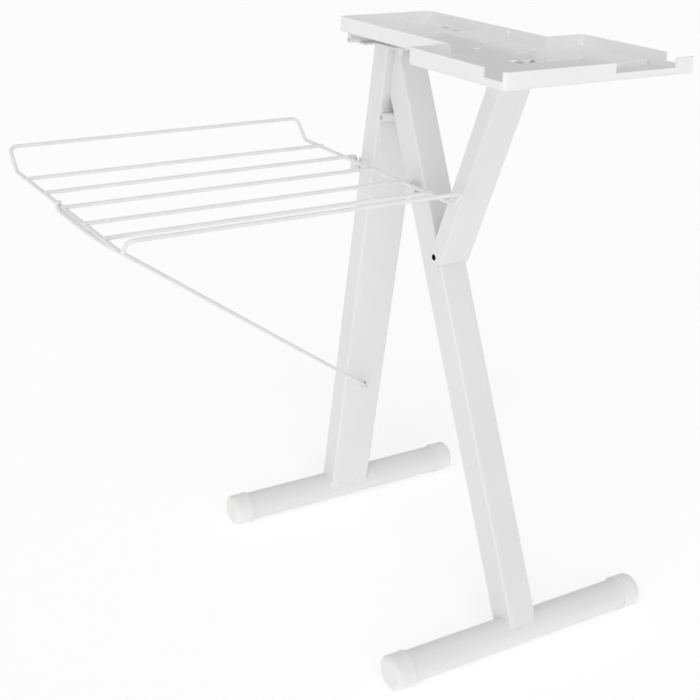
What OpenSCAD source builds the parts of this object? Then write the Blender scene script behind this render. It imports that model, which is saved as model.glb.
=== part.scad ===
// Folding floor stand for a pressing machine, with a tilting tray and a wire laundry rack.
// Units are millimetres. The origin is on the floor, midway between the two foot tubes.
// +Z is up, +X runs from leg A's foot to leg B's foot, -Y is the side the rack hangs on.

/* [Stand] */
// Height of the tray rim above the floor
rim_height = 710; // [704:1:716]
// Distance between the two foot tube centres
foot_span = 421; // [412:1:430]
// Overall length of each foot including its caps
foot_length = 366; // [320:2:400]
// Outside diameter of the foot tubes
tube_d = 38; // [36:0.5:40]
// Width of leg A across the stand
leg_a_width = 60; // [56:1:62]
// Depth of leg A
leg_a_depth = 30; // [29:0.5:31]
// Outside size of the square leg B
leg_b_size = 38; // [36:0.5:38]
// Wall of the tubes and pressed sheet
wall = 1.5; // [1.2:0.1:1.8]

/* [Strut] */
// Depth of the channel strut
strut_depth = 21.4; // [20:0.2:22]
// Running gap between strut flange and leg B
strut_gap = 1; // [0.8:0.1:1.4]

/* [Tray] */
// Width of the narrow part of the tray
tray_narrow = 130.6; // [128:0.2:136]
// Width of the wide part of the tray
tray_wide = 233.2; // [226:0.2:240]
// Length of the tray
tray_length = 397; // [392:1:402]
// Length of the narrow part
tray_neck = 231.5; // [229:0.5:234]

/* [Rack] */
// Diameter of all rack wire
wire_d = 4.8; // [4.4:0.1:5]
// Distance between the two long rails
rack_depth = 393; // [380:1:400]
// Length of the long rails between their end bends
rail_length = 352; // [348:1:356]

/* [Hidden] */

eps = 0.01;
far = 800;

// foot caps
cap_d = tube_d + 4.4;
cap_body_d = cap_d - 0.8;
cap_len = 24.4;
cap_rim = 3;
cap_end = 3;
cap_round = 5;
cap_fit = 0.05;
foot_z = cap_d / 2;
foot_a_x = -foot_span / 2;
foot_b_x = foot_span / 2;

// legs: each centreline runs from its foot tube to a point at the reference height
ref_z = rim_height - 22;
leg_a_foot_x = foot_a_x + 3.5;
leg_a_ref_x = -91.4;
leg_b_foot_x = foot_b_x + 1;
leg_b_ref_x = -98.9;
lean_a = atan2(leg_a_ref_x - leg_a_foot_x, ref_z - foot_z);
lean_b = atan2(leg_b_ref_x - leg_b_foot_x, ref_z - foot_z);
leg_top_z = rim_height - 32;
leg_a_start = 15.6;
leg_b_start = 8;
leg_round = 3;
stop_gap = 0.3;

// pivot of leg B on leg A
hinge_x = -84;
hinge_z = rim_height - 116.5;
hinge_r = 5;
hinge_pin_r = 3;
hinge_half = 32;
hinge_inner = 12;
hinge_split = 0.3;
hinge_pin_half = 27;
leaf_low = -38;
leaf_high = 8;
leaf_a_t = 2.5;
leaf_b_t = 1.8;
fit_gap = 0.05;

// strut
strut_lean = 22.85;
strut_pin_x = 27.5;
strut_pin_z = rim_height - 264;
strut_pin_r = 3.8;
strut_pin_bore = 3.1;
strut_axis_offset = 3.3;
strut_side = leg_b_size / 2 + strut_gap;
strut_half = strut_side + wall;
strut_bottom = 12.5;
strut_web_bottom = -2;
strut_top_z = rim_height - 18.5;
strut_len = (strut_top_z - strut_pin_z) / cos(strut_lean);
strut_web_in = strut_axis_offset + strut_depth / 2 - wall;
strut_web_out = strut_axis_offset + strut_depth / 2;
strut_lip = strut_axis_offset - strut_depth / 2;
tongue_y0 = -3;
tongue_y1 = 13;
tongue_x0 = 131.5;
tongue_x1 = 143;
tongue_z = rim_height - 14.5;
tongue_round = 4;
flap_x0 = 120;
flap_half = 19;
flap_drop = 1.5;

// top plate and tray hinge
plate_t = 2;
plate_x0 = -118;
plate_x1 = -62;
plate_half = 30;
ear_x0 = -61;
ear_x1 = -53;
ear_y = -25.5;
ear_drop = 6.5;
flip_x = -118;
flip_z = rim_height - 26.5;
flip_r = 3.8;
flip_pin_r = 2;
flip_split = 45.7;
flip_inner = 46;
flip_half = 60;
flip_pin_half = 57;
flip_leaf_t = 1.3;

// tray
tray_x0 = -132;
tray_x1 = tray_x0 + tray_neck;
tray_x2 = tray_x0 + tray_length;
narrow_half = tray_narrow / 2;
wide_half = tray_wide / 2;
tray_under = rim_height - 17.5;
tray_floor = tray_under + wall;
ledge_top = rim_height - 12;
tray_round = 4;
lip_in = 1;
lip_out = 3;
lip_top = rim_height - 14;
wall_foot = rim_height - 15;
low_front = rim_height - 9.5;
low_end = rim_height - 10;
low_back = rim_height - 9;
front_gap_x0 = 231;
front_gap_x1 = 261;
back_gap_x0 = 233;
end_gap_y0 = 19;
end_gap_y1 = 98.5;
tab_over = 5.5;
tab_return = 4;
ledge_x = -42;
ledge_y = 20;
ledge_x2 = 155;
ledge_y2 = 68;
ledge_x3 = 212;
ledge_y3 = 30;
latch_x0 = 126;
latch_x1 = 152;
latch_y0 = -12;
latch_y1 = 17;
notch_x0 = 104;
notch_x1 = 123;
notch_y1 = 35;
slit_start = [142, 22];
slit_length = 27;
slit_turn = 71;
slit_w = 1.2;
slit_hole = [134.5, 50];
small_hole_r = 2;
screw_hole = [52, 5];
screw_hole_r = 4;
front_slot_x = 82;
front_slot_w = 3;
front_slot_y = [-58, -34];
wall_hole_x = 31;
wall_hole_drop = 4;
groove_w = 0.8;
groove_depth = 0.5;
groove_in = 5;
groove_start = 20;
stud_x = [-72, -50];
stud_y = 48;
stud_hole_r = 5;
stud_r = 2.6;
backing_t = 1.5;

// rack
wire_r = wire_d / 2;
rail_z = rim_height - 180.5;
rail_y0 = -433;
rail_y1 = rail_y0 + rack_depth;
rail_x0 = -262.5;
rail_x1 = rail_x0 + rail_length;
lip_lean_far = 25;
lip_lean_near = 17;
lip_rise_far = 24.5;
lip_rise_near = 17.5;
bend_r = 9;
weld_sink = 2.8;
bend_step = 0.03;
bend_seat = 0.2;
joint_gap = 0.05;
cross_z = rail_z + wire_d - weld_sink;
cross_x = [-216.5, -149, -83.5, -16, 41];
cross_over = 1.5;
tail_y = -27.7;
tail_bend = 5;
tail_drop = 14;

// keepers
keeper_t = 1.5;
keeper_back = -leg_b_size / 2 - keeper_t;
keeper_front = -32.2;
keeper_top = rail_z - 1.8;
keeper_base = rail_z - 15.5;
keeper_a_x0 = -153.5;
keeper_b_x0 = -24;
keeper_b_x1 = -5.5;

// brace
brace_drop = 3.95;
brace_side = 3.3;
brace_end_x = -104;
brace_corner_x = 64;
brace_tip_x = -164.5;
brace_tip_y = 1.5;
brace_tip_z = 199.3;
brace_knee_x = -156;
brace_hole_r = 3.4;
brace_hole_low = -0.6;
brace_hole_high = 0.4;
brace_bend = 7;
brace_eye_x = [-98, -37];
eye_wire_r = 2;
eye_gap = 0.35;

// ---------- shared shapes ----------

// Local X of a point measured from a leg's centreline
function across(px, pz, foot_x, lean) = (px - foot_x) * cos(lean) - (pz - foot_z) * sin(lean);

gap_a = across(hinge_x, hinge_z, leg_a_foot_x, lean_a) - leg_a_depth / 2;
gap_b = -across(hinge_x, hinge_z, leg_b_foot_x, lean_b) - leg_b_size / 2;

module rounded_rect(x0, x1, y0, y1, r) {
    translate([x0 + r, y0]) square([x1 - x0 - 2 * r, y1 - y0]);
    translate([x0, y0 + r]) square([x1 - x0, y1 - y0 - 2 * r]);
    translate([x0 + r, y0 + r]) circle(r = r, $fn = 48);
    translate([x1 - r, y0 + r]) circle(r = r, $fn = 48);
    translate([x0 + r, y1 - r]) circle(r = r, $fn = 48);
    translate([x1 - r, y1 - r]) circle(r = r, $fn = 48);
}

module slab(z0, z1) {
    translate([0, 0, z0]) linear_extrude(height = z1 - z0) children();
}

module box(x0, x1, y0, y1, z0, z1) {
    translate([x0, y0, z0]) cube([x1 - x0, y1 - y0, z1 - z0]);
}

module rod_y(x, z, y0, y1, r) {
    translate([x, y0, z]) rotate([-90, 0, 0]) cylinder(r = r, h = y1 - y0, $fn = 64);
}

// Bent wire drawn from the current frame along +Z. Each step is [straight length, bend angle,
// roll before the bend]; a bend turns toward the rolled +X, and the last step has none.
// The straights are a hair thinner than the bends and run a little way into them.
module wire_run(steps, turn, r, lead = 0) {
    step = steps[0];
    more = len(steps) > 1;
    translate([0, 0, -lead])
        cylinder(r = r - bend_step, h = step[0] + lead + (more ? bend_seat : 0), $fn = 40);
    if (more)
        translate([0, 0, step[0]])
            rotate([0, 0, step[2]]) {
                translate([turn, 0, 0])
                    rotate([90, 0, 180])
                        rotate_extrude(angle = step[1], $fn = 64)
                            translate([turn, 0]) circle(r = r, $fn = 40);
                translate([turn, 0, 0])
                    rotate([0, step[1], 0])
                        translate([-turn, 0, 0])
                            wire_run([for (i = [1:len(steps) - 1]) steps[i]], turn, r, bend_seat);
            }
}

// Length of straight wire that a bend of this angle takes up on each side of its corner
function reach(angle, turn) = turn * tan(angle / 2);

// ---------- feet ----------

module foot_tube(x) {
    half = foot_length / 2 - cap_end - 0.5;
    difference() {
        rod_y(x, foot_z, -half, half, tube_d / 2);
        rod_y(x, foot_z, -half - 1, half + 1, tube_d / 2 - wall);
    }
}

module foot_cap(x, side) {
    inner = tube_d / 2 + cap_fit;
    outer = cap_body_d / 2;
    mid = cap_len - cap_round;
    translate([x, side * (foot_length / 2 - cap_len), foot_z])
        rotate([-90 * side, 0, 0])
            difference() {
                rotate_extrude($fn = 96) {
                    square([outer, mid]);
                    square([outer - cap_round, cap_len]);
                    translate([outer - cap_round, mid]) circle(r = cap_round, $fn = 64);
                    square([cap_d / 2, cap_rim]);
                }
                translate([0, 0, -1]) cylinder(r = inner, h = cap_len - cap_end + 1, $fn = 96);
            }
}

module foot_tube_a() {
    color("white") foot_tube(foot_a_x);
}

module foot_cap_a_front() {
    color("white") foot_cap(foot_a_x, -1);
}

module foot_cap_a_back() {
    color("white") foot_cap(foot_a_x, 1);
}

module foot_tube_b() {
    color("white") foot_tube(foot_b_x);
}

module foot_cap_b_front() {
    color("white") foot_cap(foot_b_x, -1);
}

module foot_cap_b_back() {
    color("white") foot_cap(foot_b_x, 1);
}

// ---------- legs ----------

module leg_box(foot_x, lean, depth, width, start) {
    translate([foot_x, 0, foot_z])
        rotate([0, lean, 0])
            translate([0, 0, start])
                linear_extrude(height = far)
                    difference() {
                        rounded_rect(-depth / 2, depth / 2, -width / 2, width / 2, leg_round);
                        rounded_rect(-depth / 2 + wall, depth / 2 - wall,
                            -width / 2 + wall, width / 2 - wall, leg_round - wall);
                    }
}

module brace_hole() {
    for (dz = [brace_hole_low, brace_hole_high])
        translate([brace_tip_x - 4, brace_tip_y, brace_tip_z + dz])
            rotate([0, 90, 0]) cylinder(r = brace_hole_r, h = 14, $fn = 48);
}

module leg_a() {
    color("white")
        difference() {
            leg_box(leg_a_foot_x, lean_a, leg_a_depth, leg_a_width, leg_a_start);
            box(-far, far, -far, far, leg_top_z, far * 2);
            rod_y(foot_a_x, foot_z, -leg_a_width, leg_a_width, tube_d / 2);
            brace_hole();
        }
}

module leg_b() {
    color("white")
        difference() {
            leg_box(leg_b_foot_x, lean_b, leg_b_size, leg_b_size, leg_b_start);
            box(-far, far, -far, far, leg_top_z - stop_gap, far * 2);
            rod_y(foot_b_x, foot_z, -leg_b_size, leg_b_size, tube_d / 2);
            translate([leg_a_foot_x, 0, foot_z])
                rotate([0, lean_a, 0])
                    box(-far, leg_a_depth / 2 + stop_gap, -far, far, far / 4, far * 2);
            rod_y(strut_pin_x, strut_pin_z, -leg_b_size, leg_b_size, strut_pin_r + fit_gap);
        }
}

// ---------- pivot of leg B on leg A ----------

module hinge_leaf_a() {
    flat = leg_a_width / 2 - leg_round;
    color("white")
        translate([hinge_x, 0, hinge_z])
            rotate([0, lean_a, 0])
                difference() {
                    union() {
                        box(-gap_a, leaf_a_t - gap_a, -flat, flat, leaf_low, leaf_high);
                        for (s = [-1, 1]) {
                            box(-gap_a, 0, s > 0 ? hinge_inner : -flat,
                                s > 0 ? flat : -hinge_inner, -hinge_pin_r, hinge_pin_r);
                            rod_y(0, 0, s > 0 ? hinge_inner : -hinge_half,
                                s > 0 ? hinge_half : -hinge_inner, hinge_r);
                        }
                    }
                    rod_y(0, 0, -far, far, hinge_pin_r + fit_gap);
                }
}

module hinge_leaf_b() {
    flat = leg_b_size / 2 - leg_round;
    knuckle = hinge_inner - hinge_split;
    color("white")
        translate([hinge_x, 0, hinge_z])
            rotate([0, lean_b, 0])
                difference() {
                    union() {
                        box(gap_b - leaf_b_t, gap_b, -flat, flat, leaf_low, leaf_high);
                        box(0, gap_b, -knuckle, knuckle, -hinge_pin_r, hinge_pin_r);
                        rod_y(0, 0, -knuckle, knuckle, hinge_r);
                    }
                    rod_y(0, 0, -far, far, hinge_pin_r + fit_gap);
                }
}

module hinge_pin() {
    color("silver") rod_y(hinge_x, hinge_z, -hinge_pin_half, hinge_pin_half, hinge_pin_r);
}

// ---------- top plate and tray hinge ----------

module top_plate() {
    plate_z = leg_top_z + plate_t;
    color("white")
        difference() {
            union() {
                slab(leg_top_z, plate_z) rounded_rect(plate_x0 + 8, plate_x1, -plate_half, plate_half, 3);
                box(plate_x0, plate_x0 + 12, -flip_split, flip_split, leg_top_z, plate_z);
                box(plate_x0 - 2, plate_x0 + 3, -flip_split, flip_split, leg_top_z, flip_z);
                rod_y(flip_x, flip_z, -flip_split, flip_split, flip_r);
                box(plate_x1 - 6, ear_x1, ear_y, ear_y + 8, leg_top_z, plate_z);
                box(ear_x0, ear_x1, ear_y, ear_y + wall, leg_top_z - ear_drop, plate_z);
            }
            rod_y(flip_x, flip_z, -far, far, flip_pin_r + fit_gap);
        }
}

module tray_hinge_pin() {
    color("silver") rod_y(flip_x, flip_z, -flip_pin_half, flip_pin_half, flip_pin_r);
}

module tray_hinge_leaf() {
    color("white")
        difference() {
            union() {
                box(flip_x - 6, flip_x + 6, -flip_half, flip_half, tray_under - flip_leaf_t, tray_under);
                for (s = [-1, 1]) {
                    y0 = s > 0 ? flip_inner : -flip_half;
                    box(flip_x - 2.5, flip_x + 2.5, y0, y0 + flip_half - flip_inner,
                        flip_z, tray_under - flip_leaf_t / 2);
                    rod_y(flip_x, flip_z, y0, y0 + flip_half - flip_inner, flip_r);
                }
            }
            rod_y(flip_x, flip_z, -far, far, flip_pin_r + fit_gap);
        }
}

// ---------- strut ----------

module strut_frame() {
    translate([strut_pin_x, 0, strut_pin_z]) rotate([0, strut_lean, 0]) children();
}

// Side outline of a flange: straight sides with a rounded heel around the pin
module flange_side() {
    heel = strut_bottom - 0.5;
    square([strut_web_out, strut_len * 2]);
    translate([strut_lip, 0]) square([-strut_lip, strut_len * 2]);
    intersection() {
        circle(r = heel, $fn = 96);
        translate([strut_lip, -heel]) square([strut_web_out - strut_lip, heel + eps]);
    }
}

module strut() {
    color("white")
        difference() {
            strut_frame()
                difference() {
                    union() {
                        for (s = [-1, 1])
                            translate([0, s > 0 ? strut_half : -strut_side, 0])
                                rotate([90, 0, 0]) linear_extrude(height = wall) flange_side();
                        box(strut_web_in, strut_web_out, -strut_half, strut_half,
                            strut_web_bottom, strut_len * 2);
                    }
                    rod_y(0, 0, -far, far, strut_pin_r + fit_gap);
                    for (s = [-1, 1])
                        strut_edge_cut(s);
                }
            box(-far, far, -far, far, strut_top_z, far * 2);
        }
}

// Rounds the outer fold between web and flange
module strut_edge_cut(s) {
    r = leg_round - 1;
    translate([strut_web_out - r, s * (strut_half - r), -strut_len])
        linear_extrude(height = strut_len * 3)
            difference() {
                translate([0, s > 0 ? 0 : -r - 1]) square([r + 1, r + 1]);
                circle(r = r, $fn = 48);
            }
}

module strut_tongue() {
    plate_z = tongue_z - wall;
    color("white") {
        slab(plate_z, tongue_z)
            rounded_rect(tongue_x0, tongue_x1, tongue_y0, tongue_y1, tongue_round);
        box(tongue_x1 - wall, tongue_x1, tongue_y0 + tongue_round, tongue_y1 - tongue_round,
            strut_top_z - flap_drop - wall, plate_z + eps);
        box(flap_x0, tongue_x1, -flap_half, flap_half,
            strut_top_z - flap_drop - wall, strut_top_z - flap_drop);
    }
}

module strut_pin() {
    half = strut_half + 0.2;
    color("silver")
        difference() {
            rod_y(strut_pin_x, strut_pin_z, -half, half, strut_pin_r);
            rod_y(strut_pin_x, strut_pin_z, -half - 1, half + 1, strut_pin_bore);
        }
}

// ---------- tray ----------

module tray_outline(g) {
    rounded_rect(tray_x0 + g, tray_x1 + tray_round * 2, g - narrow_half, narrow_half - g, tray_round - g);
    rounded_rect(tray_x1 + g, tray_x2 - g, g - wide_half, wide_half - g, tray_round - g);
}

module ledge_outline(g) {
    inner_n = narrow_half - wall / 2 - g;
    inner_w = wide_half - wall / 2 - g;
    x0 = tray_x0 + wall / 2 + g;
    x1 = tray_x1 + wall / 2 + g;
    translate([x0, -inner_n]) square([ledge_x - g - x0, 2 * inner_n]);
    translate([x0, ledge_y + g]) square([ledge_x2 - g - x0, inner_n - ledge_y - g]);
    translate([x1, ledge_y3 + g]) square([ledge_x2 - g - x1, inner_w - ledge_y3 - g]);
    rounded_rect(x1, ledge_x3 - g, ledge_y2 + g, inner_w, 8);
}

module tray_walls() {
    slab(wall_foot, rim_height)
        difference() {
            tray_outline(0);
            tray_outline(wall);
        }
    slab(tray_under, lip_top)
        difference() {
            tray_outline(lip_in);
            tray_outline(lip_out);
        }
}

// End wall carried past the back corner, with a return turned inward
module tray_end_tab() {
    edge = wide_half + tab_over;
    box(tray_x2 - wall, tray_x2, wide_half - tray_round, edge, tray_under, rim_height);
    box(tray_x2 - tab_return, tray_x2 - wall + eps, edge - wall, edge, tray_under, rim_height);
}

module tray_floor_sheet() {
    slab(tray_under, tray_floor) tray_outline(lip_in);
    slab(tray_under, ledge_top) ledge_outline(0);
}

module tray_wall_cuts() {
    box(front_gap_x0, front_gap_x1, -wide_half - 1, -wide_half + 3, low_front, far);
    box(back_gap_x0, tray_x2 - wall, wide_half - 3, wide_half + 1, low_back, far);
    box(tray_x2 - 6, tray_x2 + 1, end_gap_y0, end_gap_y1, low_end, far);
}

module tray_latch_cut() {
    low = tray_under - 1;
    box(latch_x0, latch_x1, latch_y0, latch_y1, low, far);
    box(notch_x0, notch_x1, latch_y1, notch_y1, tray_floor, far);
    translate([slit_start[0], slit_start[1], low])
        rotate([0, 0, slit_turn]) cube([slit_length, slit_w, far]);
    translate([slit_hole[0], slit_hole[1], low]) cylinder(r = small_hole_r, h = far, $fn = 48);
}

module tray_holes() {
    low = tray_under - 1;
    for (x = stud_x) translate([x, stud_y, low]) cylinder(r = stud_hole_r, h = far, $fn = 64);
    translate([screw_hole[0], screw_hole[1], low]) cylinder(r = screw_hole_r, h = far, $fn = 48);
    box(front_slot_x, front_slot_x + front_slot_w, front_slot_y[0], front_slot_y[1], low, far);
    translate([wall_hole_x, narrow_half - 2 * wall, rim_height - wall_hole_drop])
        rotate([-90, 0, 0]) cylinder(r = small_hole_r, h = 4 * wall, $fn = 48);
}

module tray_grooves() {
    z = ledge_top - groove_depth;
    top = ledge_top + 1;
    x0 = tray_x0 + wall + groove_start;
    x1 = tray_x1 + groove_in - 1;
    n = narrow_half - wall - groove_in;
    w = wide_half - wall - groove_in;
    box(x0, x1, n, n + groove_w, z, top);
    box(x0, x0 + groove_w, groove_in - 1 - n, n, z, top);
    box(x1, x1 + groove_w, n, w, z, top);
    box(x1, ledge_x3 - 2 * groove_in, w, w + groove_w, z, top);
}

module tray_pan() {
    color("white")
        difference() {
            union() {
                difference() {
                    union() {
                        tray_walls();
                        tray_end_tab();
                        tray_floor_sheet();
                    }
                    slab(tray_under - 1, ledge_top - wall) ledge_pocket();
                }
                box(notch_x0 - wall, notch_x1 + wall, ledge_y, notch_y1 + wall, tray_under, ledge_top);
            }
            tray_wall_cuts();
            tray_latch_cut();
            tray_holes();
            tray_grooves();
        }
}

// Hollow underneath the raised ledge, clear of the wall and its folded lip
module ledge_pocket() {
    g = lip_out;
    x0 = tray_x0 + g;
    n = narrow_half - g;
    w = wide_half - g;
    x1 = tray_x1 + g;
    translate([x0, -n]) square([ledge_x - wall - x0, 2 * n]);
    translate([x0, ledge_y + wall]) square([ledge_x2 - wall - x0, n - ledge_y - wall]);
    translate([x1, ledge_y3 + wall]) square([ledge_x2 - wall - x1, w - ledge_y3 - wall]);
    rounded_rect(x1, ledge_x3 - wall, ledge_y2 + wall, w, 6.5);
}

module tray_backing_plate() {
    z = ledge_top - wall;
    color("white")
        slab(z - backing_t, z)
            rounded_rect(stud_x[0] - 12, stud_x[1] + 6, stud_y - 12, stud_y + 12, 3);
}

module backing_rivets() {
    z = ledge_top - wall;
    color("silver")
        for (x = stud_x)
            translate([x, stud_y, z]) {
                cylinder(r = stud_r, h = 0.6, $fn = 48);
                intersection() {
                    translate([0, 0, -2]) sphere(r = 3.6, $fn = 48);
                    translate([0, 0, 0.6]) cylinder(r = stud_r, h = 2, $fn = 48);
                }
            }
}

// ---------- rack ----------

// One wire bent into a closed loop, butt joined under the middle cross wire
module rack_frame() {
    up_far = atan2(lip_rise_far, lip_lean_far);
    up_near = atan2(lip_rise_near, lip_lean_near);
    cut_far = reach(up_far, bend_r);
    cut_near = reach(up_near, bend_r);
    side_far = norm([lip_lean_far, lip_rise_far]) - cut_far - bend_r;
    side_near = norm([lip_lean_near, lip_rise_near]) - cut_near - bend_r;
    top = rack_depth - 2 * bend_r;
    color("white")
        translate([cross_x[2], rail_y0, rail_z])
            rotate([0, -90, 0])
                wire_run([[cross_x[2] - rail_x0 - cut_far, up_far, 0],
                        [side_far, 90, 90],
                        [top, 90, 0],
                        [side_far, up_far, -90],
                        [rail_length - cut_far - cut_near, up_near, 0],
                        [side_near, 90, 90],
                        [top, 90, 0],
                        [side_near, up_near, -90],
                        [rail_x1 - cross_x[2] - cut_near - joint_gap, 0, 0]], bend_r, wire_r);
}

module plain_wire(x) {
    color("white") rod_y(x, cross_z, rail_y0 - cross_over, rail_y1 + cross_over, wire_r);
}

module hooked_wire(x) {
    start = rail_y0 - cross_over;
    color("white")
        translate([x, start, cross_z])
            rotate([-90, 0, 0])
                wire_run([[tail_y - start - tail_bend, 90, 90], [tail_drop - tail_bend, 0, 0]],
                    tail_bend, wire_r);
}

module cross_wire_1() {
    plain_wire(cross_x[0]);
}

module cross_wire_2() {
    hooked_wire(cross_x[1]);
}

module cross_wire_3() {
    plain_wire(cross_x[2]);
}

module cross_wire_4() {
    hooked_wire(cross_x[3]);
}

module cross_wire_5() {
    plain_wire(cross_x[4]);
}

// Upward open channel that the bent tail of a cross wire drops into
module keeper(x0, x1, back) {
    box(x0, x1, keeper_front, keeper_front + keeper_t, keeper_base, keeper_top);
    box(x0, x1, keeper_front, back + keeper_t, keeper_base, keeper_base + keeper_t);
    box(x0, x1, back, back + keeper_t, keeper_base, keeper_top);
}

module keeper_a() {
    color("white")
        difference() {
            keeper(keeper_a_x0, -110, keeper_back);
            translate([leg_a_foot_x, 0, foot_z])
                rotate([0, lean_a, 0]) box(-leg_a_depth / 2, far, -far, far, 0, far);
        }
}

module keeper_b() {
    color("white") keeper(keeper_b_x0, keeper_b_x1, keeper_back);
}

// Tip in leg A's hole, sloping run, then an upper run under the outer rail; all in one plane
module brace_wire() {
    rise = rail_z - brace_drop - brace_tip_z;
    out = rail_y0 + brace_side - brace_tip_y;
    slope = atan2(norm([out, rise]), brace_corner_x - brace_knee_x);
    sloping = norm([out, rise, brace_corner_x - brace_knee_x]);
    cut_knee = reach(slope, brace_bend);
    cut_corner = reach(180 - slope, brace_bend);
    color("white")
        translate([brace_tip_x, brace_tip_y, brace_tip_z])
            rotate([atan2(out, -rise), 0, 0])
                rotate([0, 90, 0])
                    wire_run([[brace_knee_x - brace_tip_x - cut_knee, slope, 0],
                            [sloping - cut_knee - cut_corner, 180 - slope, 0],
                            [brace_corner_x - brace_end_x - cut_corner, 0, 0]], brace_bend, wire_r);
}

// Two wire eyes on the brace's upper run that the outer rail turns in
module brace_eyes() {
    color("white")
        for (x = brace_eye_x)
            translate([x, rail_y0, rail_z])
                rotate([0, 90, 0])
                    rotate_extrude($fn = 96)
                        translate([wire_r + eye_gap + eye_wire_r, 0]) circle(r = eye_wire_r, $fn = 40);
}

foot_tube_a();
foot_cap_a_front();
foot_cap_a_back();
leg_a();
hinge_leaf_a();
hinge_pin();
top_plate();
tray_hinge_pin();
keeper_a();
foot_tube_b();
foot_cap_b_front();
foot_cap_b_back();
leg_b();
hinge_leaf_b();
strut_pin();
keeper_b();
strut();
strut_tongue();
tray_pan();
tray_hinge_leaf();
tray_backing_plate();
backing_rivets();
rack_frame();
cross_wire_1();
cross_wire_2();
cross_wire_3();
cross_wire_4();
cross_wire_5();
brace_wire();
brace_eyes();
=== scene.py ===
"""Looks, light and camera for the folding floor stand with its tilting tray and wire rack.

Lengths are metres in the CAD frame: origin on the floor between the feet, +Z up, +X from leg A's
foot to leg B's foot, and the rack hangs towards -Y.
"""

import math
import random

import bmesh
import bpy
from mathutils import Matrix, Vector


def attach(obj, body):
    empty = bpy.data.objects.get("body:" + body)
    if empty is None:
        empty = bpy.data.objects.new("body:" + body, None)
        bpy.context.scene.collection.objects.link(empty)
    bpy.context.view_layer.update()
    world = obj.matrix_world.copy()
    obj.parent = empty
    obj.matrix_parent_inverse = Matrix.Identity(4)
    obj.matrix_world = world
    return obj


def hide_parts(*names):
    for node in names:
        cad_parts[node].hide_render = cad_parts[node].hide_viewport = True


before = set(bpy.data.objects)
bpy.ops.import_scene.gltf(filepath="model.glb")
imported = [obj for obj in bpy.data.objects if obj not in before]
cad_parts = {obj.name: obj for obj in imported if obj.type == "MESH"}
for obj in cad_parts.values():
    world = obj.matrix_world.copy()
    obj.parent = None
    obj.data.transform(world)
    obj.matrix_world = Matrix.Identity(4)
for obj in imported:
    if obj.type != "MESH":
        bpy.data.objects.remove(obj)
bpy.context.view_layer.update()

MM = 0.001

# ---------- dimensions shared with the CAD model, in metres ----------

FOOT_R = 19 * MM
FOOT_Z = 21.2 * MM
FOOT_A_X = -210.5 * MM
FOOT_B_X = 210.5 * MM
LEG_A_X = FOOT_A_X + 3.5 * MM
LEG_B_X = FOOT_B_X + 1 * MM
REF_Z = 688 * MM
LEAN_A = math.atan2(-91.4 * MM - LEG_A_X, REF_Z - FOOT_Z)
LEAN_B = math.atan2(-98.9 * MM - LEG_B_X, REF_Z - FOOT_Z)
LEG_A_HALF = (15 * MM, 30 * MM)
LEG_B_HALF = (19 * MM, 19 * MM)
LEG_CORNER = 3 * MM
LEG_A_START = 15.6 * MM
LEG_B_START = 8 * MM

RAIL_Z = 529.5 * MM
RAIL_Y = (-433 * MM, -40 * MM)
WIRE_R = 2.4 * MM
CROSS_X = [x * MM for x in (-216.5, -149, -83.5, -16, 41)]
CROSS_Z = RAIL_Z + 2 * MM
BRACE_TIP = Vector((-164.5 * MM, 1.5 * MM, 199.3 * MM))
BRACE_KNEE_X = -156 * MM
BRACE_CORNER_X = 64 * MM
BRACE_BEND = 7 * MM
BRACE_RUN = Vector((0, RAIL_Y[0] + 3.3 * MM, RAIL_Z - 3.95 * MM))
# Gap between the brace and the rail, and how far out of the rail's centre the brace may go.
RAIL_GAP = 0.3 * MM
BRACE_OUT = 4.2 * MM
BRACE_STEP = 1.6 * MM
SLOPE_SHARES = (0.1, 0.3, 0.5, 0.7, 0.9)
# Where the brace lies round the outer rail: degrees round it, position along X.
BRACE_BESIDE_RAIL = [(turn, x * MM) for turn, x in
                     ((-68, 46), (-88, 22), (-112, 0), (-130, -20), (-136, -42), (-138, -66),
                      (-140, -84))]
HOOK_X = -97 * MM
BRACE_HOOK = [(turn, HOOK_X + x * MM) for turn, x in
              ((-150, 6), (-170, 1), (-200, -1.5), (-230, -1), (-255, 1.5))]
# The tray's pressed-down floor, and the heights over which its painted shade fades in.
RECESS_Z = 694 * MM
RECESS_FADE = (0.8 * MM, 2.4 * MM)

# Foot welds: height up the leg, spread on the tube, unevenness, inset into the leg, depth into
# the tube, spacing round the leg and rows from leg to tube.
WELD_UP = 0.9 * MM
WELD_OUT = 2.4 * MM
WELD_RIPPLE = 0.14
WELD_INSET = 0.2 * MM
WELD_SINK = 0.15 * MM
WELD_STEP = 0.9 * MM
WELD_ROWS = 7

# Rack welds: half width at the waist, flare at the wires, half height and mesh rows.
CROSSING_WAIST = 1.9 * MM
CROSSING_FLARE = 2.4 * MM
CROSSING_HALF = 1.9 * MM
CROSSING_LEVELS = 9
CROSSING_SIDES = 20

# Wire mesh: sides round it, and its domed end as (share of a radius along, share of a radius).
WIRE_SIDES = 16
DOME_BACK = 0.7
DOME = [(0.0, 0.05), (0.3, 0.71), (0.7, 0.954)]

SEED = 11

# ---------- camera, fitted to the view of the photograph ----------

CAMERA_AT = (1177.4 * MM, -823.0 * MM, 907.5 * MM)
CAMERA_AZIMUTH = 59.12
CAMERA_ELEVATION = 22.67
CAMERA_ROLL = 1.31
CAMERA_LENS = 63.06
CAMERA_SENSOR = 36
CAMERA_REACH = 100

# ---------- studio ----------

FLOOR_HALF = 30
FLOOR_TONE = (0.93, 0.93, 0.93)
FLOOR_GLOW = 0.27
WORLD_STRENGTH = 0.49
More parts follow.
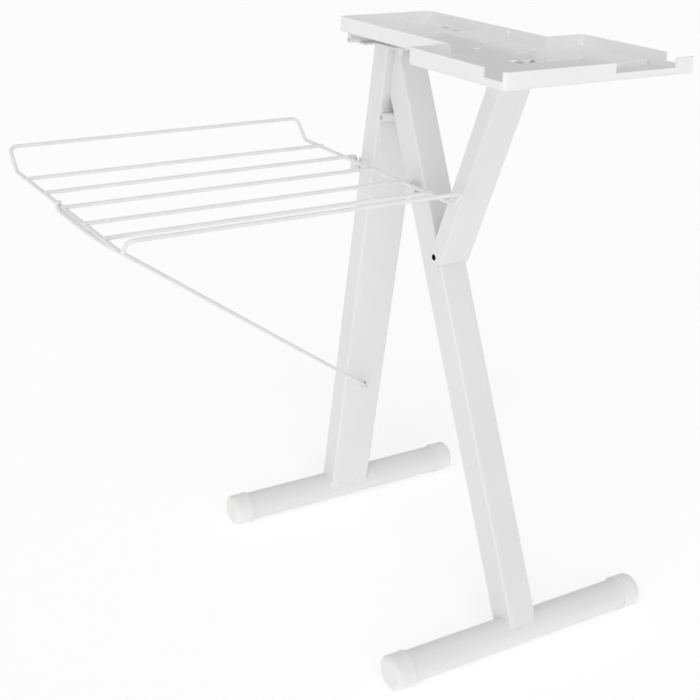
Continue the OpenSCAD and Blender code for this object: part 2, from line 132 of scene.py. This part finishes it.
# Each soft light: direction towards it, angular size in degrees, strength.
SOFT_LIGHTS = {
    "top_light": ((0, 0, 1), 120, 0.54),
    "front_light": ((0.8, -0.5, 0.5), 60, 0.64),
    "corner_light": ((0.5, -0.86, 0.05), 22, 0.42),
}


# ---------- small node builder ----------

class Graph:
    """Adds nodes to a material and joins them by socket name."""

    def __init__(self, name):
        self.material = bpy.data.materials.new(name)
        self.material.use_nodes = True
        self.tree = self.material.node_tree
        self.tree.nodes.clear()
        self.shader = self.add("ShaderNodeBsdfPrincipled")
        output = self.add("ShaderNodeOutputMaterial")
        self.join(self.shader, "BSDF", output, "Surface")
        self.place = self.add("ShaderNodeTexCoord")

    def add(self, kind, **sockets):
        node = self.tree.nodes.new(kind)
        for key, value in sockets.items():
            node.inputs[key.replace("_", " ")].default_value = value
        return node

    def join(self, source, output, target, socket):
        self.tree.links.new(source.outputs[output], target.inputs[socket])

    def noise(self, scale, detail=2.0, rough=0.5, stretch=None):
        node = self.add("ShaderNodeTexNoise", Scale=scale, Detail=detail, Roughness=rough)
        if stretch:
            mapping = self.add("ShaderNodeMapping", Scale=stretch)
            self.join(self.place, "Object", mapping, "Vector")
            self.join(mapping, "Vector", node, "Vector")
        else:
            self.join(self.place, "Object", node, "Vector")
        return node

    def span(self, source, output, lo, hi, to_lo, to_hi):
        node = self.add("ShaderNodeMapRange")
        node.inputs["From Min"].default_value = lo
        node.inputs["From Max"].default_value = hi
        node.inputs["To Min"].default_value = to_lo
        node.inputs["To Max"].default_value = to_hi
        self.join(source, output, node, "Value")
        return node

    def ramp(self, source, output, *stops):
        """A colour ramp whose stops are (position, grey or colour) pairs."""
        node = self.add("ShaderNodeValToRGB")
        points = node.color_ramp.elements
        while len(points) < len(stops):
            points.new(0.5)
        for point, (position, tone) in zip(points, stops):
            point.position = position
            point.color = (*tone, 1)
        self.join(source, output, node, "Fac")
        return node

    def bump(self, source, output, distance, strength, under=None):
        node = self.add("ShaderNodeBump", Strength=strength, Distance=distance)
        self.join(source, output, node, "Height")
        if under:
            self.join(under, "Normal", node, "Normal")
        self.join(node, "Normal", self.shader, "Normal")
        return node


# ---------- materials ----------

def powder_coat(name, tone, finer=0.0, recess=False):
    """White powder coat on steel: faint mottling, orange peel and a long soft waviness.
    Finer adds to the mottling's scale, so that two coats do not share one pattern.
    With recess, upward faces of the tray's pressed-down floor get painted shade: a greyer tone than its
    ledges."""
    g = Graph(name)
    light = tuple(c * tone for c in (0.815, 0.815, 0.812))
    deep = tuple(c * tone for c in (0.785, 0.787, 0.788))
    mottle = g.noise(7 + finer, detail=5.0, rough=0.6)
    coat = g.ramp(mottle, "Fac", (0.3, deep), (0.7, light))
    # Painted shade: upward faces in the tray's recess are coloured greyer.
    if recess:
        coat = painted_recess_shade(g, coat)
    g.join(coat, "Color", g.shader, "Base Color")
    patches = g.noise(38, detail=4.0, rough=0.65)
    g.join(g.span(patches, "Fac", 0.3, 0.7, 0.34, 0.46), "Result", g.shader, "Roughness")
    wave = g.bump(g.noise(26, detail=1.0), "Fac", 0.9 * MM, 0.12)
    peel = g.bump(g.noise(520, detail=2.0, rough=0.55), "Fac", 0.16 * MM, 0.28, under=wave)
    g.bump(g.noise(2600, detail=1.0), "Fac", 0.03 * MM, 0.2, under=peel)
    return g.material


def painted_recess_shade(g, coat):
    """Mixes a greyer tone, painted shade for the recess, into upward faces below the tray's ledge."""
    axes = g.add("ShaderNodeSeparateXYZ")
    g.join(g.place, "Object", axes, "Vector")
    low = g.span(axes, "Z", RECESS_Z + RECESS_FADE[0], RECESS_Z + RECESS_FADE[1], 1.0, 0.0)
    facing = g.add("ShaderNodeNewGeometry")
    normal = g.add("ShaderNodeSeparateXYZ")
    g.join(facing, "Normal", normal, "Vector")
    upward = g.span(normal, "Z", 0.4, 0.8, 0.0, 1.0)
    both = g.add("ShaderNodeMath")
    both.operation = "MULTIPLY"
    g.tree.links.new(low.outputs["Result"], both.inputs[0])
    g.tree.links.new(upward.outputs["Result"], both.inputs[1])
    # The grey of the painted shade in the recess, with a faint cloud in it.
    cloud = g.ramp(g.noise(16, detail=4.0), "Fac",
                   (0.3, (0.745, 0.74, 0.743)), (0.7, (0.785, 0.782, 0.782)))
    blend = g.add("ShaderNodeMixRGB")
    g.join(both, "Value", blend, "Fac")
    g.join(coat, "Color", blend, "Color1")
    g.join(cloud, "Color", blend, "Color2")
    return blend


def dipped_wire(name):
    """Thick glossy coat on wire: it pools a little, so the surface rolls softly along its length."""
    g = Graph(name)
    flow = g.noise(30, detail=3.0)
    tone = g.ramp(flow, "Fac", (0.3, (0.80, 0.80, 0.80)), (0.7, (0.845, 0.845, 0.84)))
    g.join(tone, "Color", g.shader, "Base Color")
    g.join(g.span(g.noise(60, detail=3.0), "Fac", 0.3, 0.7, 0.26, 0.38), "Result", g.shader, "Roughness")
    roll = g.bump(g.noise(110, detail=1.0), "Fac", 0.5 * MM, 0.25)
    g.bump(g.noise(900, detail=2.0), "Fac", 0.06 * MM, 0.25, under=roll)
    return g.material


def moulded_plastic(name):
    """Satin white moulding with a fine spark-eroded grain, scuffed where it stands on the floor."""
    g = Graph(name)
    cloud = g.noise(14, detail=3.0)
    clean = g.ramp(cloud, "Fac", (0.3, (0.835, 0.835, 0.825)), (0.7, (0.86, 0.86, 0.852)))
    axes = g.add("ShaderNodeSeparateXYZ")
    g.join(g.place, "Object", axes, "Vector")
    height = g.span(axes, "Z", 0.0, 3 * MM, 1.0, 0.0)
    speck = g.noise(420, detail=4.0, rough=0.7)
    worn = g.add("ShaderNodeMath")
    worn.operation = "MULTIPLY"
    g.join(height, "Result", worn, "Value")
    g.tree.links.new(g.span(speck, "Fac", 0.42, 0.6, 0.0, 0.6).outputs["Result"], worn.inputs[1])
    blend = g.add("ShaderNodeMixRGB")
    blend.inputs["Color2"].default_value = (0.56, 0.55, 0.53, 1)
    g.join(worn, "Value", blend, "Fac")
    g.join(clean, "Color", blend, "Color1")
    g.join(blend, "Color", g.shader, "Base Color")
    g.join(g.span(g.noise(55, detail=3.0), "Fac", 0.3, 0.7, 0.40, 0.52), "Result", g.shader, "Roughness")
    grain = g.bump(g.noise(1900, detail=2.0, rough=0.6), "Fac", 0.05 * MM, 0.35)
    g.bump(g.noise(45, detail=1.0), "Fac", 0.5 * MM, 0.06, under=grain)
    g.shader.inputs["Subsurface Weight"].default_value = 0.08
    g.shader.inputs["Subsurface Scale"].default_value = 2 * MM
    return g.material


def plated_steel(name):
    """Zinc plate on turned steel, drawn along Y, with a patchy passivated bloom."""
    g = Graph(name)
    bloom = g.noise(160, detail=4.0, rough=0.65)
    tone = g.ramp(bloom, "Fac", (0.25, (0.46, 0.46, 0.45)), (0.75, (0.66, 0.66, 0.64)))
    g.join(tone, "Color", g.shader, "Base Color")
    g.shader.inputs["Metallic"].default_value = 1.0
    drawn = g.noise(700, detail=3.0, stretch=(1, 0.08, 1))
    g.join(g.span(drawn, "Fac", 0.3, 0.7, 0.28, 0.5), "Result", g.shader, "Roughness")
    g.bump(drawn, "Fac", 0.04 * MM, 0.4)
    return g.material


def shade_black_steel(name):
    """Near-black steel whose colour is painted shade, for the shadow behind an opening."""
    g = Graph(name)
    cloud = g.noise(240, detail=4.0, rough=0.7)
    tone = g.ramp(cloud, "Fac", (0.3, (0.012, 0.012, 0.012)), (0.7, (0.03, 0.03, 0.029)))
    g.join(tone, "Color", g.shader, "Base Color")
    g.join(g.span(cloud, "Fac", 0.3, 0.7, 0.75, 0.9), "Result", g.shader, "Roughness")
    g.shader.inputs["Specular IOR Level"].default_value = 0.08
    g.bump(g.noise(1500, detail=2.0), "Fac", 0.05 * MM, 0.4)
    return g.material


def painted_weld(name):
    """Powder coat lying over a weld bead: lumpier than the sheet, with darker patches placed by noise as
    painted shade for its folds.
    """
    g = Graph(name)
    fold = g.noise(480, detail=3.0, rough=0.6)
    # Painted shade: the darker stop stands in for shade in the bead's folds.
    tone = g.ramp(fold, "Fac", (0.32, (0.70, 0.70, 0.70)), (0.5, (0.80, 0.80, 0.797)),
                  (0.7, (0.82, 0.82, 0.817)))
    g.join(tone, "Color", g.shader, "Base Color")
    g.join(g.span(fold, "Fac", 0.3, 0.7, 0.5, 0.34), "Result", g.shader, "Roughness")
    lumps = g.bump(g.noise(300, detail=2.0), "Fac", 0.5 * MM, 0.4)
    g.bump(g.noise(1200, detail=2.0), "Fac", 0.1 * MM, 0.3, under=lumps)
    return g.material


def pale_floor(name):
    """Seamless pale sheet with a paper-like tooth."""
    g = Graph(name)
    shade = tuple(c * 0.99 for c in FLOOR_TONE)
    tone = g.ramp(g.noise(0.8, detail=3.0), "Fac", (0.3, FLOOR_TONE), (0.7, shade))
    g.join(tone, "Color", g.shader, "Base Color")
    g.join(g.span(g.noise(9, detail=3.0), "Fac", 0.3, 0.7, 0.78, 0.86), "Result", g.shader, "Roughness")
    g.bump(g.noise(350, detail=2.0), "Fac", 0.05 * MM, 0.15)
    g.shader.inputs["Specular IOR Level"].default_value = 0.2
    g.shader.inputs["Emission Color"].default_value = (1, 1, 1, 1)
    g.shader.inputs["Emission Strength"].default_value = FLOOR_GLOW
    return g.material


# ---------- mesh helpers ----------

def mesh_piece(name, verts, faces, material, body, slot):
    """A mesh object that rides on a body and takes the given material. The slot argument is not used."""
    mesh = bpy.data.meshes.new(name)
    mesh.from_pydata([tuple(v) for v in verts], [], faces)
    bm = bmesh.new()
    bm.from_mesh(mesh)
    bmesh.ops.recalc_face_normals(bm, faces=bm.faces)
    bm.to_mesh(mesh)
    bm.free()
    for face in mesh.polygons:
        face.use_smooth = True
    mesh.materials.append(material)
    obj = bpy.data.objects.new(name, mesh)
    bpy.context.scene.collection.objects.link(obj)
    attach(obj, body)
    return obj


def merge(parts):
    """Joins several (verts, faces) pairs into one."""
    verts, faces = [], []
    for more_verts, more_faces in parts:
        base = len(verts)
        verts += more_verts
        faces += [tuple(base + i for i in face) for face in more_faces]
    return verts, faces


def outline(half_x, half_y, corner, step):
    """Points round a rounded rectangle about step apart."""
    points = []
    corners = [(1, 1, 0), (-1, 1, 90), (-1, -1, 180), (1, -1, 270)]
    for sx, sy, start in corners:
        cx, cy = sx * (half_x - corner), sy * (half_y - corner)
        for k in range(4):
            turn = math.radians(start + k * 30)
            points.append((cx + corner * math.cos(turn), cy + corner * math.sin(turn)))
    filled = []
    for i, (ax, ay) in enumerate(points):
        bx, by = points[(i + 1) % len(points)]
        pieces = max(1, round(math.hypot(bx - ax, by - ay) / step))
        filled += [(ax + (bx - ax) * k / pieces, ay + (by - ay) * k / pieces) for k in range(pieces)]
    return filled


# ---------- pieces ----------

def foot_weld(name, tube_x, leg_x, lean, half, start, body, material, rng):
    """Fillet weld round a leg's lower end: lofted from the leg's outline down onto the foot tube."""
    across = Vector((math.cos(lean), 0, -math.sin(lean)))
    along = Vector((math.sin(lean), 0, math.cos(lean)))
    centre = Vector((leg_x, 0, FOOT_Z))
    offset = Vector((leg_x - tube_x, 0, 0))
    verts, faces = [], []
    points = outline(half[0] - WELD_INSET, half[1] - WELD_INSET, LEG_CORNER, WELD_STEP)
    for px, py in points:
        out = Vector((px, py)).normalized()
        start_at = offset + across * px
        b = start_at.dot(along)
        inside = b * b - start_at.dot(start_at) + FOOT_R ** 2
        seat = -b + math.sqrt(inside) if inside > 0 else start
        up = max(start, seat) + WELD_UP * (1 + WELD_RIPPLE * rng.uniform(-1, 1))
        top = centre + across * px + along * up + Vector((0, py, 0))
        wide = WELD_OUT * (1 + WELD_RIPPLE * rng.uniform(-1, 1))
        spread = across * (out.x * wide) + Vector((0, out.y * wide, 0))
        foot = top - along * (up - min(up, seat)) + spread
        radial = Vector((foot.x - tube_x, 0, foot.z - FOOT_Z))
        radial *= (FOOT_R - WELD_SINK) / radial.length
        foot = Vector((tube_x + radial.x, foot.y, FOOT_Z + radial.z))
        sag = (along * 0.25 + across * out.x * 0.1) * (top - foot).length
        elbow = top * 0.5 + foot * 0.5 - sag
        for k in range(WELD_ROWS):
            t = k / (WELD_ROWS - 1)
            verts.append(top * (1 - t) ** 2 + elbow * (2 * t * (1 - t)) + foot * t ** 2)
    count = len(points)
    for i in range(count):
        a, b = i * WELD_ROWS, ((i + 1) % count) * WELD_ROWS
        for k in range(WELD_ROWS - 1):
            faces.append((a + k, b + k, b + k + 1, a + k + 1))
    return mesh_piece(name, verts, faces, material, body, "painted_steel")


def crossing(centre, rng):
    """Saddle-shaped resistance weld between two crossed wires: wide along each, pinched between."""
    verts = []
    thick, thin = WIRE_R * 3, WIRE_R * 0.92
    for j in range(CROSSING_LEVELS):
        t = -1 + 2 * j / (CROSSING_LEVELS - 1)
        a = CROSSING_WAIST + CROSSING_FLARE * max(0.0, -t) ** 1.4 * (1 - 0.1 * rng.random())
        b = CROSSING_WAIST + CROSSING_FLARE * max(0.0, t) ** 1.4 * (1 - 0.1 * rng.random())
        close = 1 - 0.35 * abs(t) ** 4
        on_low = min(a, thick) if t < 0 else min(a, thin)
        on_high = min(b, thick) if t > 0 else min(b, thin)
        for k in range(CROSSING_SIDES):
            turn = 2 * math.pi * k / CROSSING_SIDES
            verts.append(centre + Vector((math.cos(turn) * on_low * close,
                                          math.sin(turn) * on_high * close,
                                          t * CROSSING_HALF)))
    return verts, ring_faces(CROSSING_LEVELS, CROSSING_SIDES)


def ring_faces(rings, sides):
    """Quads between stacked rings of points, with a flat face over each end."""
    faces = []
    for i in range(rings - 1):
        for k in range(sides):
            n = (k + 1) % sides
            faces.append((i * sides + k, i * sides + n, (i + 1) * sides + n, (i + 1) * sides + k))
    faces.append(tuple(range(sides)))
    faces.append(tuple((rings - 1) * sides + k for k in range(sides)))
    return faces


def smooth_path(points, step):
    """Catmull-Rom points about step apart through the given ones."""
    ends = [points[0] * 2 - points[1]] + points + [points[-1] * 2 - points[-2]]
    path = []
    for a, b, c, d in zip(ends, ends[1:], ends[2:], ends[3:]):
        pieces = max(1, round((c - b).length / step))
        for k in range(pieces):
            t = k / pieces
            path.append(0.5 * (2 * b + (c - a) * t + (2 * a - 5 * b + 4 * c - d) * t ** 2
                               + (3 * b - 3 * c + d - a) * t ** 3))
    return path + [points[-1]]


def wire_tube(path, radius):
    """Round wire with a domed end at each side, swept with a frame carried along the path."""
    last = len(path) - 1
    tangents = [(path[min(i + 1, last)] - path[max(i - 1, 0)]).normalized() for i in range(last + 1)]
    side = tangents[0].orthogonal().normalized()
    first_along, last_along = tangents[0], tangents[-1]
    back = radius * DOME_BACK
    rings = [(path[0] + first_along * (radius * a - back), first_along, b) for a, b in DOME]
    rings += [(p, t, 1.0) for p, t in zip(path, tangents)]
    rings += [(path[-1] - last_along * (radius * a - back), last_along, b) for a, b in reversed(DOME)]
    verts = []
    for point, along, scale in rings:
        side = (side - along * side.dot(along)).normalized()
        over = along.cross(side)
        for k in range(WIRE_SIDES):
            turn = 2 * math.pi * k / WIRE_SIDES
            verts.append(point + (side * math.cos(turn) + over * math.sin(turn)) * (radius * scale))
    return verts, ring_faces(len(rings), WIRE_SIDES)


def bend_points(before, corner, after, turn):
    """Three points that round the corner between two straights."""
    a, b = (before - corner).normalized(), (after - corner).normalized()
    half = a.angle(b) / 2
    cut = turn / math.tan(half)
    middle = corner + (a + b).normalized() * (turn / math.sin(half) - turn)
    return [corner + a * cut, middle, corner + b * cut]


def around_rail(degrees, x, radius):
    """A point beside the outer rail; 0 is its inner side, 90 its top and 180 its outer side,
    where the wire is pressed in to BRACE_OUT."""
    turn = math.radians(degrees)
    out = max(radius * math.cos(turn), -BRACE_OUT)
    return Vector((x, RAIL_Y[0] + out, RAIL_Z + radius * math.sin(turn)))


def brace(material):
    """Bent brace wire: tip in leg A's hole, a long slope, a run beside the outer rail and a hook
    laid over it near the middle cross wire."""
    knee = Vector((BRACE_KNEE_X, BRACE_TIP.y, BRACE_TIP.z))
    corner = Vector((BRACE_CORNER_X, BRACE_RUN.y, BRACE_RUN.z))
    reach = 2 * WIRE_R + RAIL_GAP
    run = [around_rail(turn, x, reach) for turn, x in BRACE_BESIDE_RAIL]
    hook = [around_rail(turn, x, reach) for turn, x in BRACE_HOOK]
    points = [BRACE_TIP] + bend_points(BRACE_TIP, knee, corner, BRACE_BEND)
    points += [knee.lerp(corner, share) for share in SLOPE_SHARES]
    points += bend_points(knee, corner, run[0], BRACE_BEND) + run + hook
    verts, faces = wire_tube(smooth_path(points, BRACE_STEP), WIRE_R)
    piece = mesh_piece("brace_bent_wire", verts, faces, material, "brace", "coated_wire")
    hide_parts("brace_wire", "brace_eyes")


def rack_welds(material, rng):
    """One weld at every place where a cross wire lies on a rail."""
    parts = []
    for x in CROSS_X:
        for y in RAIL_Y:
            centre = Vector((x, y, (RAIL_Z + CROSS_Z) / 2))
            parts.append(crossing(centre, rng))
    return mesh_piece("rack_welds", *merge(parts), material, "rack", "coated_wire")


def studio():
    """Pale floor out past the horizon of the view, a soft even room and three broad lights."""
    mesh = bpy.data.meshes.new("floor")
    h = FLOOR_HALF
    mesh.from_pydata([(-h, -h, 0), (h, -h, 0), (h, h, 0), (-h, h, 0)], [], [(0, 1, 2, 3)])
    mesh.materials.append(pale_floor("floor_sheet"))
    floor = bpy.data.objects.new("floor", mesh)
    bpy.context.scene.collection.objects.link(floor)
    world = bpy.data.worlds.new("soft_room")
    world.use_nodes = True
    sky = world.node_tree.nodes["Background"]
    sky.inputs["Color"].default_value = (1, 1, 1, 1)
    sky.inputs["Strength"].default_value = WORLD_STRENGTH
    bpy.context.scene.world = world
    for name, (direction, spread, strength) in SOFT_LIGHTS.items():
        lamp = bpy.data.lights.new(name, "SUN")
        lamp.angle = math.radians(spread)
        lamp.energy = strength
        obj = bpy.data.objects.new(name, lamp)
        obj.matrix_world = Vector(direction).to_track_quat("Z", "Y").to_matrix().to_4x4()
        bpy.context.scene.collection.objects.link(obj)
    view = bpy.context.scene.view_settings
    view.view_transform = "Standard"
    view.look = "None"


def camera():
    a, e, r = (math.radians(v) for v in (CAMERA_AZIMUTH, CAMERA_ELEVATION, CAMERA_ROLL))
    back = Vector((math.sin(a) * math.cos(e), -math.cos(a) * math.cos(e), math.sin(e)))
    right = (-back).cross(Vector((0, 0, 1))).normalized()
    up = right.cross(-back)
    right, up = right * math.cos(r) + up * math.sin(r), up * math.cos(r) - right * math.sin(r)
    turn = Matrix((right, up, back)).transposed()
    data = bpy.data.cameras.new("view")
    data.lens = CAMERA_LENS
    data.sensor_width = CAMERA_SENSOR
    data.clip_end = CAMERA_REACH
    obj = bpy.data.objects.new("view", data)
    obj.matrix_world = Matrix.Translation(CAMERA_AT) @ turn.to_4x4()
    bpy.context.scene.collection.objects.link(obj)
    bpy.context.scene.camera = obj


# ---------- finishes on the CAD nodes ----------

def finish_nodes():
    tube = powder_coat("powder_tube", 1.0)
    sheet = powder_coat("powder_sheet", 1.0, finer=2.3)
    # Painted light: the tray's coat is the sheet's paint made lighter, standing in for the light on its
    # upward ledges.
    tray = powder_coat("powder_tray", 1.1, finer=4.1, recess=True)
    wire = dipped_wire("coated_wire")
    cap = moulded_plastic("moulded_cap")
    zinc = plated_steel("zinc_plate")
    dark = shade_black_steel("painted_shade_backing")
    weld = painted_weld("painted_weld")
    by_node = {}
    for name in ("leg_a", "leg_b", "foot_tube_a", "foot_tube_b", "strut"):
        by_node[name] = tube
    for name in ("hinge_leaf_a", "hinge_leaf_b", "top_plate", "keeper_a", "keeper_b", "strut_tongue",
                 "tray_pan", "tray_hinge_leaf"):
        by_node[name] = sheet
    by_node["tray_pan"] = tray
    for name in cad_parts:
        if name.startswith(("rack_", "cross_wire_", "brace_")):
            by_node[name] = wire
        if name.startswith("foot_cap_"):
            by_node[name] = cap
    for name in ("hinge_pin", "tray_hinge_pin", "backing_rivets"):
        by_node[name] = zinc
    # Painted shade: the backing plate under the tray's holes and the strut pin are coloured near black
    # for the shadow in the holes and the pin's bore.
    for name in ("tray_backing_plate", "strut_pin"):
        by_node[name] = dark
    for name, material in by_node.items():
        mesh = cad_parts[name].data
        mesh.materials.clear()
        mesh.materials.append(material)
    return wire, weld


wire_coat, weld_coat = finish_nodes()
rng = random.Random(SEED)
foot_weld("foot_weld_a", FOOT_A_X, LEG_A_X, LEAN_A, LEG_A_HALF, LEG_A_START, "leg_a_base",
          weld_coat, rng)
foot_weld("foot_weld_b", FOOT_B_X, LEG_B_X, LEAN_B, LEG_B_HALF, LEG_B_START, "leg_b_swing",
          weld_coat, rng)
rack_welds(wire_coat, rng)
brace(wire_coat)
studio()
camera()
